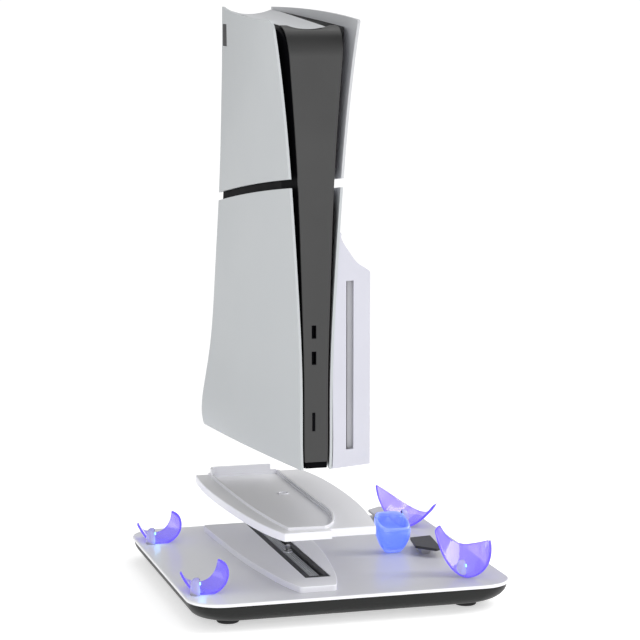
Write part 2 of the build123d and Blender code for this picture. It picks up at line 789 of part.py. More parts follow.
def bulge_block(inset, y_front):
    """Body of the drive bulge: plan outline times shouldered front outline."""
    i = inset
    with BuildPart() as b:
        with BuildSketch(Plane.XY.offset(Z0)):
            with BuildLine():
                Polyline(
                    (XC + 13, YF + y_front),
                    (XC + 47.2 - i, YF + 11.5 + i),
                    (XC + 49.8 - i, YF + 20),
                    (XC + 50.5 - i, YF + 110),
                    (XC + 47.5 - i, YF + 212 - i),
                    (XC + 20, YF + 212 - i),
                    (XC + 13, YF + 100),
                    close=True,
                )
            make_face()
        extrude(amount=COVER_TOP)
        with BuildSketch(Plane.XZ.offset(-(YF - 20))):
            side = XC + BULGE_SIDE - i
            drop = i * 0.8
            with BuildLine():
                Line((XC + 5, Z0 + i), (side, Z0 + i))
                Line((side, Z0 + i), (side, Z0 + SHOULDER_Z))
                Spline(
                    (side, Z0 + SHOULDER_Z),
                    (XC + 46.6 - drop, Z0 + 154.2 - drop),
                    (XC + 36.5 - drop, Z0 + 160.8 - drop),
                    (XC + 29 - drop, Z0 + 169.5 - drop),
                    (XC + 21 - drop, Z0 + 182.3 - drop),
                    (XC + 5, Z0 + COVER_TOP - i),
                    tangents=((0, 1), (-1, 0.2)),
                )
                Line((XC + 5, Z0 + COVER_TOP - i), (XC + 5, Z0 + i))
            make_face()
        extrude(amount=-260, mode=Mode.INTERSECT)
    return b.part


with BuildPart(mode=Mode.PRIVATE) as right_core_space:
    loft(sections=[panel_section(z, 1) for z in HEIGHTS])
    loft(sections=[core_section(z, 1, -CORE_GAP + PANEL_T * 0.5, -20, DEPTH + 20) for z in HEIGHTS])

with BuildPart() as right_lower_panel:
    add(side_panel(1, LOWER_MASK, LOWER_PEGS))
    # window behind which the optical drive sits
    add(local_box(5, 60, 13, DRIVE_Y1 + 2, DRIVE_Z0 - 2, DRIVE_Z1 + 2), mode=Mode.SUBTRACT)
save(right_lower_panel, "right_lower_panel")

with BuildPart(mode=Mode.PRIVATE) as cover_pieces:
    add(bulge_block(0, 0.4))
    outer_edges = cover_pieces.edges().filter_by(Axis.Z).sort_by(Axis.X)[-3:]
    fillet(outer_edges, 3)
    add(bulge_block(COVER_T, 0.4 + COVER_T), mode=Mode.SUBTRACT)
    add(right_core_space.part, mode=Mode.SUBTRACT)
    add(local_box(SLOT_X - SLOT_W / 2, SLOT_X + SLOT_W / 2, -5, 13,
                  SLOT_Z - SLOT_LEN / 2, SLOT_Z + SLOT_LEN / 2), mode=Mode.SUBTRACT)

with BuildPart() as drive_cover:
    add(cover_pieces.part.solids().sort_by(SortBy.VOLUME)[-1])
save(drive_cover, "drive_cover")

# ================================================================ console core


def core_mask():
    with BuildPart() as m:
        with BuildSketch(Plane.YZ.offset(XC)):
            with BuildLine():
                Line((YF + CORE_FRONT, Z0 + CORE_BOTTOM), (YF + CORE_FRONT, Z0 + ROLL_Z))
                RadiusArc((YF + CORE_FRONT, Z0 + ROLL_Z),
                          (YF + CORE_FRONT + ROLL_R, Z0 + ROLL_Z + ROLL_R), ROLL_R)
                Line((YF + CORE_FRONT + ROLL_R, Z0 + ROLL_Z + ROLL_R), (YF + CORE_REAR,
                        Z0 + CORE_REAR_TOP))
                Line((YF + CORE_REAR, Z0 + CORE_REAR_TOP), (YF + CORE_REAR, Z0 + CORE_BOTTOM))
                Line((YF + CORE_REAR, Z0 + CORE_BOTTOM), (YF + CORE_FRONT, Z0 + CORE_BOTTOM))
            make_face()
        extrude(amount=80, both=True)
    return m.part


def inner_mask():
    y0 = CORE_FRONT + CORE_WALL
    with BuildPart() as m:
        with BuildSketch(Plane.YZ.offset(XC)):
            with BuildLine():
                Polyline(
                    (YF + y0, Z0 + CORE_BOTTOM + CORE_WALL),
                    (YF + y0, Z0 + ROLL_Z - 14),
                    (YF + 28, Z0 + ROLL_Z + 8),
                    (YF + CORE_REAR + 5, Z0 + ROOF_IN_REAR),
                    (YF + CORE_REAR + 5, Z0 + CORE_BOTTOM + CORE_WALL),
                    close=True,
                )
            make_face()
        extrude(amount=80, both=True)
    return m.part


CORE_MASK = core_mask()
INNER_MASK = inner_mask()


def valley(radius, y_from):
    """Cylinder that hollows the top of the core, from depth y_from to the back."""
    tube = Pos(XC, YF, Z0 + VALLEY_Z) * Rot(90 + VALLEY_TILT, 0, 0) * Cylinder(radius, 3 * DEPTH)
    return tube & box(XC - 60, XC + 60, YF + y_from, YF + DEPTH + 20, Z0 + 200, Z0 + 500)


ROLL_END = CORE_FRONT + ROLL_R
VALLEY = valley(VALLEY_R, -20)
CAP_SEAT = valley(VALLEY_R + CAP_T + 0.05, ROLL_END + 0.2)
DRIVE_BAY = local_box(DRIVE_X0 - BAY_GAP, 60, DRIVE_Y0 - BAY_GAP - 3, DRIVE_Y1 + BAY_GAP,
                      DRIVE_Z0 - BAY_GAP, DRIVE_Z1 + BAY_GAP)

# board fixing places and the bosses that carry the board, supply and fan
BOARD_X0 = 4
BOARD_X1 = 5.6
BOARD_FIX = ((30, 30), (180, 30), (180, 300), (40, 300))
LEFT_FIX = ((60, 16), (175, 16), (60, 182), (175, 182))
CARRY_X = -12
BOSS_R = 3.5


def boss(side, x, y, z):
    end = side * (panel_half(y, z) - CORE_GAP - CORE_WALL / 2)
    return rod_x(min(x, end), max(x, end), y, z, BOSS_R)


def core_half(side):
    with BuildPart() as c:
        loft(sections=[core_section(z, side, 0, CORE_FRONT, CORE_REAR) for z in HEIGHTS])
        add(CORE_MASK, mode=Mode.INTERSECT)
        add(VALLEY, mode=Mode.SUBTRACT)
        add(CAP_SEAT, mode=Mode.SUBTRACT)
        with BuildPart(mode=Mode.PRIVATE) as hollow:
            loft(sections=[core_section(z, side, CORE_WALL, CORE_FRONT + CORE_WALL, CORE_REAR + 2)
                           for z in HEIGHTS])
            add(INNER_MASK, mode=Mode.INTERSECT)
        add(hollow.part, mode=Mode.SUBTRACT)
    return c.part


PORT_CUTS = [
    local_box(PORT_X - PORT_W / 2 - 0.1, PORT_X + PORT_W / 2 + 0.1, -2, PORT_LEN + 2,
              z - PORT_H / 2 - 0.1, z + PORT_H / 2 + 0.1)
    for z in PORT_ZS
]
BUTTON_CUT = local_box(BUTTON_X - BUTTON_W / 2 - 0.15, BUTTON_X + BUTTON_W / 2 + 0.15, -2, 6,
                       BUTTON_Z - BUTTON_H / 2 - 0.15, BUTTON_Z + BUTTON_H / 2 + 0.15)

with BuildPart() as core_shell_left:
    add(core_half(-1))
    for y, z in LEFT_FIX:
        add(boss(-1, CARRY_X, y, z))
    for y, z in UPPER_PEGS + LOWER_PEGS:
        add(peg_hole(y, z, -1), mode=Mode.SUBTRACT)
    for cut in PORT_CUTS:
        add(cut, mode=Mode.SUBTRACT)
    add(BUTTON_CUT, mode=Mode.SUBTRACT)
save(core_shell_left, "core_shell_left")

with BuildPart() as core_shell_right:
    add(core_half(1))
    for y, z in BOARD_FIX:
        add(boss(1, BOARD_X1, y, z))
    for y, z in BOARD_FIX:
        add(rod_x(BOARD_X1 - 1, BOARD_X1 + 4, y, z, 1.56), mode=Mode.SUBTRACT)
    for y, z in UPPER_PEGS + LOWER_PEGS:
        add(peg_hole(y, z, 1), mode=Mode.SUBTRACT)
    for cut in PORT_CUTS:
        add(cut, mode=Mode.SUBTRACT)
    add(DRIVE_BAY, mode=Mode.SUBTRACT)
save(core_shell_right, "core_shell_right")

with BuildPart() as top_cap:
    for side in (-1, 1):
        loft(sections=[core_section(z, side, 0.3, CORE_FRONT, CORE_REAR) for z in HEIGHTS])
    add(CORE_MASK, mode=Mode.INTERSECT)
    add(valley(VALLEY_R + CAP_T, ROLL_END + 0.4), mode=Mode.INTERSECT)
    add(VALLEY, mode=Mode.SUBTRACT)
save(top_cap, "top_cap")

with BuildPart() as front_band:
    with BuildSketch(Plane.YZ.offset(XC)):
        with BuildLine():
            y_out = YF + CORE_FRONT - BAND_T
            y_in = YF + CORE_FRONT
            y_end = YF + CORE_FRONT + ROLL_R
            Line((y_in, Z0 + BAND_BOTTOM), (y_out, Z0 + BAND_BOTTOM))
            Line((y_out, Z0 + BAND_BOTTOM), (y_out, Z0 + ROLL_Z))
            RadiusArc((y_out, Z0 + ROLL_Z), (y_end, Z0 + ROLL_Z + ROLL_R + BAND_T), ROLL_R + BAND_T)
            Line((y_end, Z0 + ROLL_Z + ROLL_R + BAND_T), (y_end, Z0 + ROLL_Z + ROLL_R))
            RadiusArc((y_end, Z0 + ROLL_Z + ROLL_R), (y_in, Z0 + ROLL_Z), -ROLL_R)
            Line((y_in, Z0 + ROLL_Z), (y_in, Z0 + BAND_BOTTOM))
        make_face()
    extrude(amount=60, both=True)
    with BuildPart(mode=Mode.PRIVATE) as band_mask:
        loft(sections=[band_section(z) for z in HEIGHTS])
    add(band_mask.part, mode=Mode.INTERSECT)
    add(VALLEY, mode=Mode.SUBTRACT)
    for cut in PORT_CUTS:
        add(cut, mode=Mode.SUBTRACT)
    add(BUTTON_CUT, mode=Mode.SUBTRACT)
save(front_band, "front_band")

with BuildPart() as bottom_trim:
    add(local_box(-8.7, 8.7, 0.2, 2, CORE_BOTTOM, BAND_BOTTOM - 0.1))
    chamfer(bottom_trim.edges().filter_by(Axis.Z).group_by(Axis.Y)[0], 0.6)
save(bottom_trim, "bottom_trim")

with BuildPart() as front_ports:
    for z in PORT_ZS:
        add(local_box(PORT_X - PORT_W / 2, PORT_X + PORT_W / 2, 0.5, PORT_LEN, z - PORT_H / 2,
                z + PORT_H / 2))
        add(local_box(PORT_X - 1.2, PORT_X + 1.2, 0, PORT_LEN - 1, z - 4.4, z + 4.4), mode=Mode.SUBTRACT)
        add(local_box(PORT_X - 0.35, PORT_X + 0.35, 2, PORT_LEN, z - 3.4, z + 3.4))
save(front_ports, "front_ports")

with BuildPart() as power_button:
    add(local_box(BUTTON_X - 1, BUTTON_X + 1, -0.4, 5, BUTTON_Z - BUTTON_H / 2, BUTTON_Z + BUTTON_H / 2))
    fillet(power_button.edges().group_by(Axis.Y)[0].filter_by(Axis.X), 0.3)
    add(local_box(BUTTON_X - 2.4, BUTTON_X + 1.9, 4.6, 5.8, BUTTON_Z - 9, BUTTON_Z + 9))
save(power_button, "power_button")

with BuildPart() as power_switch:
    add(local_box(-4.2, 0, 5.8 + BUTTON_TRAVEL_ROOM, 12, BUTTON_Z - 5, BUTTON_Z + 5))
    add(local_box(0, BOARD_X0, 9, 28, BUTTON_Z - 4, BUTTON_Z + 4))
save(power_switch, "power_switch")

with BuildPart() as main_board:
    add(local_box(BOARD_X0, BOARD_X1, 22, 195, 12, 312))
    for y, z in BOARD_FIX:
        add(rod_x(BOARD_X0 - 1, BOARD_X1 + 1, y, z, 1.6), mode=Mode.SUBTRACT)
save(main_board, "main_board")

with BuildPart() as board_screws:
    for y, z in BOARD_FIX:
        add(rod_x(BOARD_X0, BOARD_X1 + 3, y, z, 1.5))
        add(rod_x(BOARD_X0 - 1.6, BOARD_X0, y, z, 2.8))
save(board_screws, "board_screws")

with BuildPart() as heat_sink:
    add(local_box(0, BOARD_X0, 55, 175, 196, 290))
    for i in range(16):
        add(local_box(-11, 0, 58 + 7.4 * i, 59.4 + 7.4 * i, 196, 290))
save(heat_sink, "heat_sink")

with BuildPart() as power_supply:
    add(local_box(CARRY_X, BOARD_X0 - 1, 56, 174, 10, 58))
    for i in range(10):
        add(local_box(CARRY_X + 1, BOARD_X0, 66 + 11 * i, 70 + 11 * i, 18, 50), mode=Mode.SUBTRACT)
save(power_supply, "power_supply")

FAN_Y = 118
FAN_Z = 122
FAN_R = 54
with BuildPart() as fan_housing:
    add(rod_x(CARRY_X, 1, FAN_Y, FAN_Z, FAN_R + 2.5))
    add(rod_x(CARRY_X + 2, 3, FAN_Y, FAN_Z, FAN_R + 0.5), mode=Mode.SUBTRACT)
    add(rod_x(CARRY_X - 1, CARRY_X + 3, FAN_Y, FAN_Z, 34), mode=Mode.SUBTRACT)
    for turn in (0, 90):
        bar = Box(2, 2 * FAN_R, 6, mode=Mode.PRIVATE)
        add(Pos(XC + CARRY_X + 1, YF + FAN_Y, Z0 + FAN_Z) * Rot(turn, 0, 0) * bar)
    add(rod_x(CARRY_X, CARRY_X + 3, FAN_Y, FAN_Z, 9))
    add(rod_x(CARRY_X + 3, 0, FAN_Y, FAN_Z, 2))
save(fan_housing, "fan_housing")

with BuildPart() as fan_rotor:
    add(rod_x(CARRY_X + 3.4, 0, FAN_Y, FAN_Z, 15))
    add(rod_x(-2.4, 0, FAN_Y, FAN_Z, FAN_R - 1))
    for k in range(23):
        blade = Box(8, 26, 1.4, mode=Mode.PRIVATE)
        add(Pos(XC - 5, YF + FAN_Y, Z0 + FAN_Z) * Rot(360 / 23 * k, 0, 0) * Pos(0, 38, 0) * Rot(28,
                0, 0) * blade)
    add(rod_x(CARRY_X, 2, FAN_Y, FAN_Z, 2 + RUN_GAP), mode=Mode.SUBTRACT)
save(fan_rotor, "fan_rotor")

with BuildPart() as board_shield:
    add(local_box(6.4, 7.2, 45, 170, 60, 285))
    for j in range(6):
        for i in range(4):
            add(rod_x(6, 8, 62 + 30 * i, 80 + 37 * j, 6), mode=Mode.SUBTRACT)
    for y, z in ((50, 66), (165, 66), (50, 280), (165, 280)):
        add(rod_x(BOARD_X1, 6.4, y, z, 2))
save(board_shield, "board_shield")

with BuildPart() as storage_module:
    add(local_box(BOARD_X0 - 3.5, BOARD_X0, 70, 150, 62, 65.5))
save(storage_module, "storage_module")

# rear wall of the core with exhaust slots and connectors
REAR_Y0 = 206
REAR_Y1 = 209
REAR_PORTS = ((-10, 30, 9, 14), (12, 30, 8, 12), (-10, 62, 7, 15), (8, 62, 7, 13), (8, 88, 7, 13))


def rear_section(z, side):
    w = panel_half(REAR_Y1, z) - CORE_GAP - CORE_WALL - 0.6
    with BuildSketch(Plane.XY.offset(Z0 + z)) as s:
        with Locations((XC, YF + (REAR_Y0 + REAR_Y1) / 2)):
            Rectangle(2 * w, REAR_Y1 - REAR_Y0)
    return s.sketch


with BuildPart() as rear_grille:
    loft(sections=[rear_section(z, 1) for z in HEIGHTS])
    add(local_box(-60, 60, 200, 215, CORE_BOTTOM + CORE_WALL, ROOF_IN_REAR - 1.4), mode=Mode.INTERSECT)
    for x in (-14, -10, -6, -2, 2, 6, 10, 14):
        add(local_box(x - 1.2, x + 1.2, 200, 215, 120, 330), mode=Mode.SUBTRACT)
    for x, z, w, h in REAR_PORTS:
        add(local_box(x - w / 2, x + w / 2, 200, 215, z - h / 2, z + h / 2), mode=Mode.SUBTRACT)
    # cross bars keep the slots short
    for z in (160, 200, 240, 280):
        add(local_box(-15.5, 15.5, REAR_Y0, REAR_Y1, z, z + 3))
save(rear_grille, "rear_grille")

with BuildPart() as rear_ports:
    for x, z, w, h in REAR_PORTS:
        add(local_box(x - w / 2 + 0.1, x + w / 2 - 0.1, 198, REAR_Y1, z - h / 2 + 0.1, z + h / 2 - 0.1))
        add(local_box(x - w / 2 + 0.9, x + w / 2 - 0.9, 200, 215, z - h / 2 + 0.9, z + h / 2 - 0.9),
            mode=Mode.SUBTRACT)
        add(local_box(x - 0.6, x + 0.6, 198, REAR_Y1 - 2, z - h / 2 + 2.2, z + h / 2 - 2.2))
save(rear_ports, "rear_ports")

# ================================================================ optical drive
CAV_X0 = DISC_X - DISC_GAP / 2 + 0.4
CAV_X1 = DISC_X + DISC_GAP / 2 + 0.4
ROLL_X = (CAV_X0 + CAV_X1) / 2
with BuildPart() as disc_drive:
    add(local_box(DRIVE_X0, DRIVE_X1, DRIVE_Y0, DRIVE_Y1, DRIVE_Z0, DRIVE_Z1))
    add(local_box(CAV_X0 + 0.1, CAV_X1, DRIVE_Y0 - 2, DRIVE_Y1 - 2, DRIVE_Z0 + 3, DRIVE_Z1 - 3),
        mode=Mode.SUBTRACT)
    # spindle motor pocket
    add(rod_x(CAV_X1 - 1, CAV_X1 + 5, SPINDLE_Y, SLOT_Z, 12), mode=Mode.SUBTRACT)
    add(rod_x(CAV_X1 + 2, CAV_X1 + 5, SPINDLE_Y, SLOT_Z, 1.5))
save(disc_drive, "disc_drive")

with BuildPart() as disc_spindle:
    add(rod_x(CAV_X0 + 1.4, CAV_X1 + 4.2, SPINDLE_Y, SLOT_Z, 11))
    add(rod_x(CAV_X0 + 1.4, CAV_X0 + 3.2, SPINDLE_Y, SLOT_Z, 7.4))
    add(rod_x(CAV_X1 + 1, CAV_X1 + 5, SPINDLE_Y, SLOT_Z, 1.5 + RUN_GAP), mode=Mode.SUBTRACT)
save(disc_spindle, "disc_spindle")

ROLL_Z0 = DRIVE_Z0 + 4
ROLL_Z1 = DRIVE_Z1 - 4
for sign, name in ((-1, "feed_roller_inner"), (1, "feed_roller_outer")):
    with BuildPart() as roller:
        add(Pos(XC, YF, Z0) * rod_z(ROLL_X + sign * ROLLER_OFF, ROLLER_Y, ROLL_Z0, ROLL_Z1, ROLLER_R))
    save(roller, name)

# light lip behind the slot: it hides the mouth and leaves the disc's gap open on the left
with BuildPart() as slot_seal:
    add(local_box(SLOT_X - SLOT_W / 2 + SEAL_GAP, SLOT_X + SLOT_W / 2 + 3, SEAL_Y, SEAL_Y + 1.2,
                  SLOT_Z - SLOT_LEN / 2 - 1, SLOT_Z + SLOT_LEN / 2 + 1))
    add(local_box(SLOT_X + SLOT_W / 2 + 1, SLOT_X + SLOT_W / 2 + 3, SEAL_Y, DRIVE_Y0,
                  SLOT_Z - SLOT_LEN / 2, SLOT_Z + SLOT_LEN / 2))
save(slot_seal, "slot_seal")
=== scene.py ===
import json
import math

import bmesh
import bpy
from mathutils import Matrix, Vector


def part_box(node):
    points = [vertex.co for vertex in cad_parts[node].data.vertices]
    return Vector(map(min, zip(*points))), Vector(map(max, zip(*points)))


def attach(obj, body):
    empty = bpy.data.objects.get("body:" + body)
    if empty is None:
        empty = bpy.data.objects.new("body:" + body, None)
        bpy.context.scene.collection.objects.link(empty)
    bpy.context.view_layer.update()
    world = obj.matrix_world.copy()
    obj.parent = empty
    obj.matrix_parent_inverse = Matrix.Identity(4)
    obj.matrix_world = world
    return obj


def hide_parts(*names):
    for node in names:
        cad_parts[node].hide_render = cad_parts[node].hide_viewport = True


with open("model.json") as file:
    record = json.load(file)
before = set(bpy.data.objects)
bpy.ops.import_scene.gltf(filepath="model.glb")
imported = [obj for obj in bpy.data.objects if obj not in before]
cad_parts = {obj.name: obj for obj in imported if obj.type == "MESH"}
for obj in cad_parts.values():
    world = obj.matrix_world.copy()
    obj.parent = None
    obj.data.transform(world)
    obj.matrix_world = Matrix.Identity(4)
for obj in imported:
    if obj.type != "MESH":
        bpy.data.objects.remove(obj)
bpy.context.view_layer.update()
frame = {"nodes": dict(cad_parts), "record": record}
nodes = frame["nodes"]
record = frame["record"]
scene = bpy.context.scene
MM = 0.001


# ------------------------------------------------------------------ materials
# depth of the grain in metres
GRAIN_DEPTH = 0.0002
COAT_ROUGH = 0.12
# input ranges: slow noise, edge pointiness, faces turned a way, faces from flat to steep
NOISE_BAND = (0.3, 0.7)
WORN_BAND = (0.52, 0.60)
TURNED_BAND = (0.3, 0.6)
STEEP_BAND = (0.97, 0.75)
UP = (0, 0, 1)


def add_node(nt, kind, **values):
    n = nt.nodes.new(kind)
    for k, v in values.items():
        if k in n.inputs:
            n.inputs[k].default_value = v
        else:
            setattr(n, k, v)
    return n


def mapped(nt, value, source, target=(0.0, 1.0), kind="LINEAR"):
    """value, moved from the source range to the target range."""
    n = add_node(nt, "ShaderNodeMapRange", interpolation_type=kind)
    n.inputs["From Min"].default_value, n.inputs["From Max"].default_value = source
    n.inputs["To Min"].default_value, n.inputs["To Max"].default_value = target
    nt.links.new(value, n.inputs["Value"])
    return n.outputs["Result"]


def times(nt, first, second):
    """first times second, where second is an output or a number."""
    n = add_node(nt, "ShaderNodeMath", operation="MULTIPLY")
    nt.links.new(first, n.inputs[0])
    if isinstance(second, (int, float)):
        n.inputs[1].default_value = second
    else:
        nt.links.new(second, n.inputs[1])
    return n.outputs[0]


def along(nt, vector, axis):
    """How far the vector reaches along the axis."""
    n = add_node(nt, "ShaderNodeVectorMath", operation="DOT_PRODUCT")
    n.inputs[1].default_value = axis
    nt.links.new(vector, n.inputs[0])
    return n.outputs["Value"]


def mixed(nt, factor, first, second):
    """Colour from first, an output or a colour, to the colour second."""
    n = add_node(nt, "ShaderNodeMix", data_type="RGBA")
    nt.links.new(factor, n.inputs["Factor"])
    if isinstance(first, tuple):
        n.inputs[6].default_value = (*first, 1)
    else:
        nt.links.new(first, n.inputs[6])
    n.inputs[7].default_value = (*second, 1)
    return n.outputs[2]


def plastic(name, colour, rough, grain=900, grain_bump=0.08, tone=0.03, coat=0.0, spec=0.5,
            mottle=14, rough_var=0.06, transmission=0.0, ior=1.46, emission=None, metallic=0.0,
            edge=0.0, edge_colour=None, streak=None, ramp=None, rim=None, lit_sides=None):
    """Moulded or coated surface: fine grain bump, slow tone and roughness drift, worn edges.

    emission is (colour, strength) and rim is (colour, emission colour) at the mesh's own "rim" value, a
    painted edge colour and glow.
    ramp is (axis, start, end, colour at the end) of painted light or shade, and a last vector keeps it to
    faces turned that way.
    The colour given for the sides is painted light on steep faces.
    """
    m = bpy.data.materials.new(name)
    m.use_nodes = True
    nt = m.node_tree
    b = nt.nodes["Principled BSDF"]
    links = nt.links
    coords = add_node(nt, "ShaderNodeTexCoord")
    normal = add_node(nt, "ShaderNodeNewGeometry")
    source = coords.outputs["Object"]
    if streak:
        mapping = add_node(nt, "ShaderNodeMapping")
        mapping.inputs["Scale"].default_value = streak
        links.new(source, mapping.inputs["Vector"])
        source = mapping.outputs["Vector"]
    slow = add_node(nt, "ShaderNodeTexNoise", Scale=mottle, Detail=4.0, Roughness=0.6)
    links.new(source, slow.inputs["Vector"])
    fine = add_node(nt, "ShaderNodeTexNoise", Scale=grain, Detail=3.0, Roughness=0.55)
    links.new(source, fine.inputs["Vector"])
    mix = add_node(nt, "ShaderNodeVectorMath", operation="SCALE")
    mix.inputs[0].default_value = colour
    links.new(mapped(nt, slow.outputs["Fac"], NOISE_BAND, (1.0 - tone, 1.0 + tone)), mix.inputs["Scale"])
    shade = mix.outputs["Vector"]
    if edge:
        worn = mapped(nt, normal.outputs["Pointiness"], WORN_BAND)
        shade = mixed(nt, times(nt, times(nt, worn, slow.outputs["Fac"]), edge), shade, edge_colour)
    # painted light or shade: colour ramped along an axis, for some nodes only on faces turned one way
    if ramp:
        axis, start, end, far = ramp[:4]
        amount = mapped(nt, along(nt, coords.outputs["Object"], axis), (start, end), kind="SMOOTHSTEP")
        if len(ramp) > 4:
            turned = mapped(nt, along(nt, normal.outputs["Normal"], ramp[4]), TURNED_BAND)
            amount = times(nt, amount, turned)
        shade = mixed(nt, amount, shade, far)
    # painted light: steep faces take a lighter colour, as if lit by the front lamps
    if lit_sides:
        shade = mixed(nt, mapped(nt, along(nt, normal.outputs["Normal"], UP), STEEP_BAND), shade, lit_sides)
    if emission:
        b.inputs["Emission Color"].default_value = (*emission[0], 1)
        b.inputs["Emission Strength"].default_value = emission[1]
    # painted edge colour and glow where the mesh's "rim" value is high
    if rim:
        lip = add_node(nt, "ShaderNodeAttribute", attribute_name="rim").outputs["Fac"]
        shade = mixed(nt, lip, shade, rim[0])
        links.new(mixed(nt, lip, emission[0], rim[1]), b.inputs["Emission Color"])
    links.new(shade, b.inputs["Base Color"])
    rough_range = (max(0.0, rough - rough_var), min(1.0, rough + rough_var))
    links.new(mapped(nt, slow.outputs["Fac"], NOISE_BAND, rough_range), b.inputs["Roughness"])
    bump = add_node(nt, "ShaderNodeBump", Strength=grain_bump, Distance=GRAIN_DEPTH)
    links.new(fine.outputs["Fac"], bump.inputs["Height"])
    links.new(bump.outputs["Normal"], b.inputs["Normal"])
    b.inputs["Specular IOR Level"].default_value = spec
    b.inputs["Coat Weight"].default_value = coat
    b.inputs["Coat Roughness"].default_value = COAT_ROUGH
    b.inputs["Metallic"].default_value = metallic
    b.inputs["Transmission Weight"].default_value = transmission
    b.inputs["IOR"].default_value = ior
    return m


SHELL = dict(coat=0.2, grain=1400, grain_bump=0.03)
COVER = dict(coat=0.1, tone=0.012, grain=1800, grain_bump=0.06)
CORE = dict(grain=1200, grain_bump=0.08)
LIP = dict(grain=1500, grain_bump=0.12)
TINTED = dict(tone=0.05, grain=500, grain_bump=0.02, transmission=0.7, ior=1.3, coat=0.5)

# slot of the record: colour, roughness and the rest
FINISHES = {
    # painted light: steep faces of the shell take a lighter colour
    "white_shell": ((0.72, 0.72, 0.735), 0.34, dict(SHELL, tone=0.012, lit_sides=(0.93, 0.93, 0.98))),
    "panel_white": ((0.55, 0.575, 0.59), 0.42, COVER),
    "cover_white": ((0.62, 0.62, 0.69), 0.42, COVER),
    "tub_dark": ((0.009, 0.0095, 0.009), 0.45,
                 dict(spec=0.35, tone=0.12, grain_bump=0.15, edge=0.3, edge_colour=(0.08, 0.08, 0.08))),
    "rubber_black": ((0.012, 0.012, 0.013), 0.62, dict(tone=0.15, grain=700, grain_bump=0.3)),
    "channel_grey": ((0.42, 0.43, 0.43), 0.5, dict(tone=0.05, grain_bump=0.15)),
    "steel": ((0.52, 0.52, 0.53), 0.3,
              dict(tone=0.06, grain=600, grain_bump=0.1, metallic=1.0, streak=(1, 1, 12))),
    "board_green": ((0.015, 0.09, 0.045), 0.38, dict(tone=0.2, grain=500, grain_bump=0.2, mottle=60)),
    "chip_black": ((0.018, 0.018, 0.020), 0.5, dict(tone=0.1, grain_bump=0.2)),
    "pin_dark": ((0.06, 0.05, 0.08), 0.3, dict(tone=0.1, metallic=0.8, grain_bump=0.1)),
    "cyan_light": ((0.3, 0.85, 1.0), 0.3, dict(tone=0.02, emission=((0.25, 0.85, 1.0), 2.5))),
    # painted glow: the tinted cradles and cup give light of their own, with a painted edge colour and
    # stronger glow at their rim value
    "violet_clear": ((0.46, 0.38, 0.98), 0.10,
                     dict(TINTED, emission=((0.11, 0.08, 0.70), 0.26),
                          rim=((0.30, 0.22, 0.95), (0.13, 0.08, 0.75)))),
    "blue_clear": ((0.42, 0.54, 1.0), 0.10,
                   dict(TINTED, emission=((0.07, 0.15, 0.85), 0.30),
                        rim=((0.60, 0.70, 1.0), (0.14, 0.22, 0.85)))),
    "post_white": ((0.80, 0.78, 0.99), 0.15, dict(tone=0.02, coat=0.4, transmission=0.55, ior=1.3)),
    "flap_dark": ((0.03, 0.03, 0.035), 0.45, dict(tone=0.15, grain=700, grain_bump=0.25)),
    "flap_grey": ((0.50, 0.50, 0.52), 0.45, dict(tone=0.05, grain_bump=0.12)),
    "core_black": ((0.003, 0.003, 0.004), 0.55, dict(CORE, tone=0.15, spec=0.03)),
    "aluminium_fin": ((0.7, 0.7, 0.71), 0.35, dict(tone=0.05, metallic=1.0)),
    "supply_dark": ((0.05, 0.05, 0.055), 0.45, dict(tone=0.1)),
    "drive_metal": ((0.3, 0.3, 0.31), 0.4, dict(tone=0.08, metallic=0.7)),
    "roof_light": ((0.55, 0.56, 0.58), 0.5, dict(LIP, tone=0.04)),
}
MATS = {slot: plastic(slot, colour, rough, **rest) for slot, (colour, rough, rest) in FINISHES.items()}


def local_z(node, z):
    """Height z of the shared frame in the node's own coordinates."""
    return (nodes[node].matrix_world.inverted() @ Vector((0, 0, z))).z


def rise(node, low, high, colour, *facing):
    """Ramp up the node between two heights of the shared frame."""
    return (UP, local_z(node, low), local_z(node, high), colour, *facing)


rim_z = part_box("tray_rim")[0][2]
band_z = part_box("front_band")[1][2]
slit_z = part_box("right_upper_panel")[0][2]

# nodes with a finish of their own; the first five carry painted light and shade
SPECIAL = {
    # painted light and shade: steep faces lighter, and the tray floor under the rim's height a shade darker
    # than above it
    "dock_plate": plastic("dock_shell", (0.78, 0.78, 0.80), 0.35, tone=0.02, lit_sides=(0.93, 0.93, 0.98),
                          ramp=rise("dock_plate", rim_z - 1.2 * MM, rim_z - 0.4 * MM, (0.80, 0.80, 0.82)),
                          **SHELL),
    # painted light and shade: steep faces lighter, and the top darker towards the right and front
    "base_top_plate": plastic("base_shell", (0.94, 0.945, 0.96), 0.34, tone=0.012, lit_sides=(0.97, 0.97, 1.0),
                              ramp=((1, -0.2, 0), -0.15, 0.0, (0.55, 0.55, 0.58)), **SHELL),
    # painted shade: the band darkens over its top 20 mm, where it rolls back
    "front_band": plastic("band_shell", (0.042, 0.042, 0.042), 0.42, grain=1500, grain_bump=0.06,
                          ramp=rise("front_band", band_z - 20 * MM, band_z - 4 * MM, (0.008, 0.008, 0.008))),
    # painted light: on faces turned to +x the black core turns grey from the slit's height up to 10 mm above
    # it
    "core_shell_right": plastic("core_side", (0.004, 0.004, 0.005), 0.5, tone=0.1, spec=0.05,
                                ramp=rise("core_shell_right", slit_z, slit_z + 10 * MM,
                                          (0.40, 0.40, 0.43), (1, 0, 0)), **CORE),
    # painted light: the right upper panel takes a lighter copy of the panel colour
    "right_upper_panel": plastic("panel_lit_copy", (0.62, 0.63, 0.65), 0.42, **COVER),
    "slot_seal": plastic("slot_lip", (0.60, 0.60, 0.63), 0.5, tone=0.05, **LIP),
    "front_ports": MATS["core_black"],
    "rear_ports": MATS["chip_black"],
}

